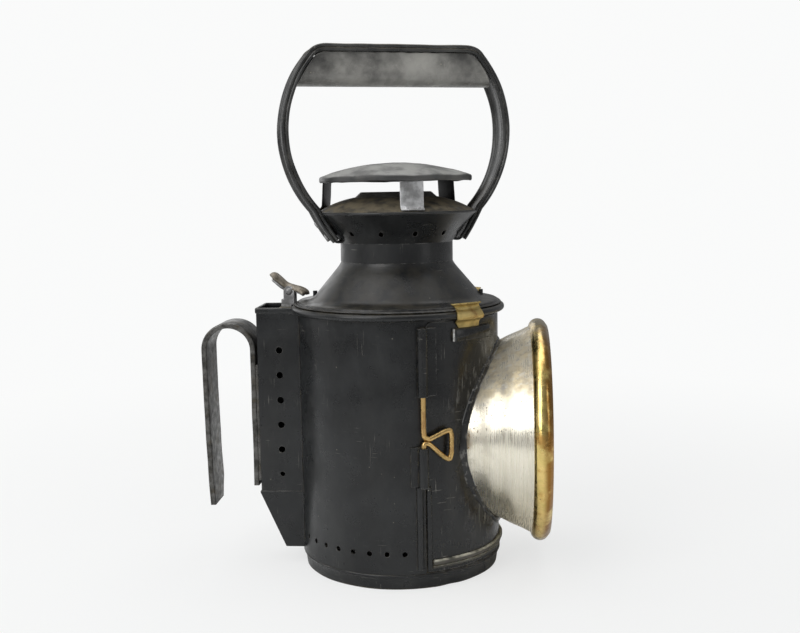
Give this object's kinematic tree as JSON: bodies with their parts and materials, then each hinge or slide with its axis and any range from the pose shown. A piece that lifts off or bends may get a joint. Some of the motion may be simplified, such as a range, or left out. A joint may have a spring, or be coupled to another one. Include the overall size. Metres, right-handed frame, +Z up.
{
  "type": "candle lantern",
  "caption": "Round hand lantern with a hooded lens door, turning chimney top with a bail and grip, rear air box and belt hook.",
  "frame": {"origin": "centre of the flat foot on the body's axis", "axes": "+X out of the lens, +Y to the side away from the hinge wire, +Z up"},
  "size_m": [0.2068, 0.1308, 0.3035],
  "materials": {
    "black_paint": "satin black paint over sheet steel, worn and dusty",
    "gloss_paint": "gloss black paint with scratches",
    "dusty_paint": "black paint under dust and soot",
    "worn_strap": "black paint worn to steel along its ribs",
    "solder_grey": "black paint over grey solder",
    "hook_steel": "dark mottled steel",
    "bare_steel": "dull worn steel",
    "tinplate": "sooted tinplate",
    "spring_steel": "drawn wire",
    "reflector_plate": "dulled mirror plate",
    "nickel": "worn nickel plate, brushed round",
    "bezel_brass": "polished brass gone patchy",
    "aged_brass": "dull aged brass",
    "wire_brass": "bright drawn brass wire",
    "lens_glass": "clear glass with a green edge",
    "wax": null,
    "wick": "burnt cotton"
  },
  "bodies": {
    "lantern_body": {"base_pan": "black_paint", "floor_plate": "tinplate", "body_shell": "black_paint", "opening_frame": "black_paint", "body_edge_beads": "black_paint", "top_bead": "black_paint", "rear_box": "black_paint", "box_hopper": "black_paint", "box_top_plate": "dusty_paint", "hook_backplate": "hook_steel", "belt_hook": "hook_steel", "hook_rivets": "hook_steel", "latch_bracket": "bare_steel", "latch_pin": "bare_steel", "latch_spring": "spring_steel", "lower_knuckle": "black_paint", "candle_tube": "tinplate", "tube_cap": "aged_brass", "feed_spring": "spring_steel", "spring_follower": "tinplate", "candle": "wax", "wick": "wick", "drip_pan": "tinplate", "rear_reflector": "reflector_plate", "reflector_bracket": "tinplate"},
    "door": {"door_panel": "gloss_paint", "door_edge_beads": "gloss_paint", "door_ledge": "dusty_paint", "upper_knuckle": "gloss_paint", "clip_brackets": "gloss_paint", "near_clip": "aged_brass", "far_clip": "aged_brass", "hood_cone": "nickel", "hood_collar": "solder_grey", "bezel_ring": "bezel_brass", "lens_glass": "lens_glass", "lens_retainer": "tinplate"},
    "wire_pin": {"hinge_pin": "wire_brass"},
    "latch_lever": {"thumb_lever": "bare_steel"},
    "turning_top": {"roof_cone": "black_paint", "roof_studs": "black_paint", "neck_sleeve": "black_paint", "chimney_flare": "black_paint", "chimney_top": "dusty_paint", "inner_chimney": "tinplate", "cap_dome": "dusty_paint", "cap_strap_front": "bare_steel", "cap_strap_left": "black_paint", "cap_strap_right": "black_paint", "cap_rivets": "bare_steel", "bail_strap": "worn_strap", "bail_edge_wires": "worn_strap", "bail_feet": "black_paint", "bail_rivets": "bare_steel", "grip_shell": "gloss_paint"}
  },
  "joints": [
    {"name": "door_hinge", "type": "hinge", "parent": "lantern_body", "child": "door", "pos_m": [0.01767, -0.05964, 0.076], "axis": [0, 0, -1], "range_deg": [0, 110]},
    {"name": "pin_lift", "type": "slide", "parent": "door", "child": "wire_pin", "axis": [0, 0, 1], "range_m": [0, 0.0192]},
    {"name": "latch_press", "type": "hinge", "parent": "lantern_body", "child": "latch_lever", "pos_m": [-0.0643, 0, 0.1628], "axis": [0, -1, 0], "range_deg": [0, 24], "stiffness_Nm_per_rad": 0.03, "springref_deg": -28.65},
    {"name": "top_turn", "type": "hinge", "parent": "lantern_body", "child": "turning_top", "pos_m": [0, 0, 0.155], "axis": [0, 0, 1], "continuous": true}
  ]
}
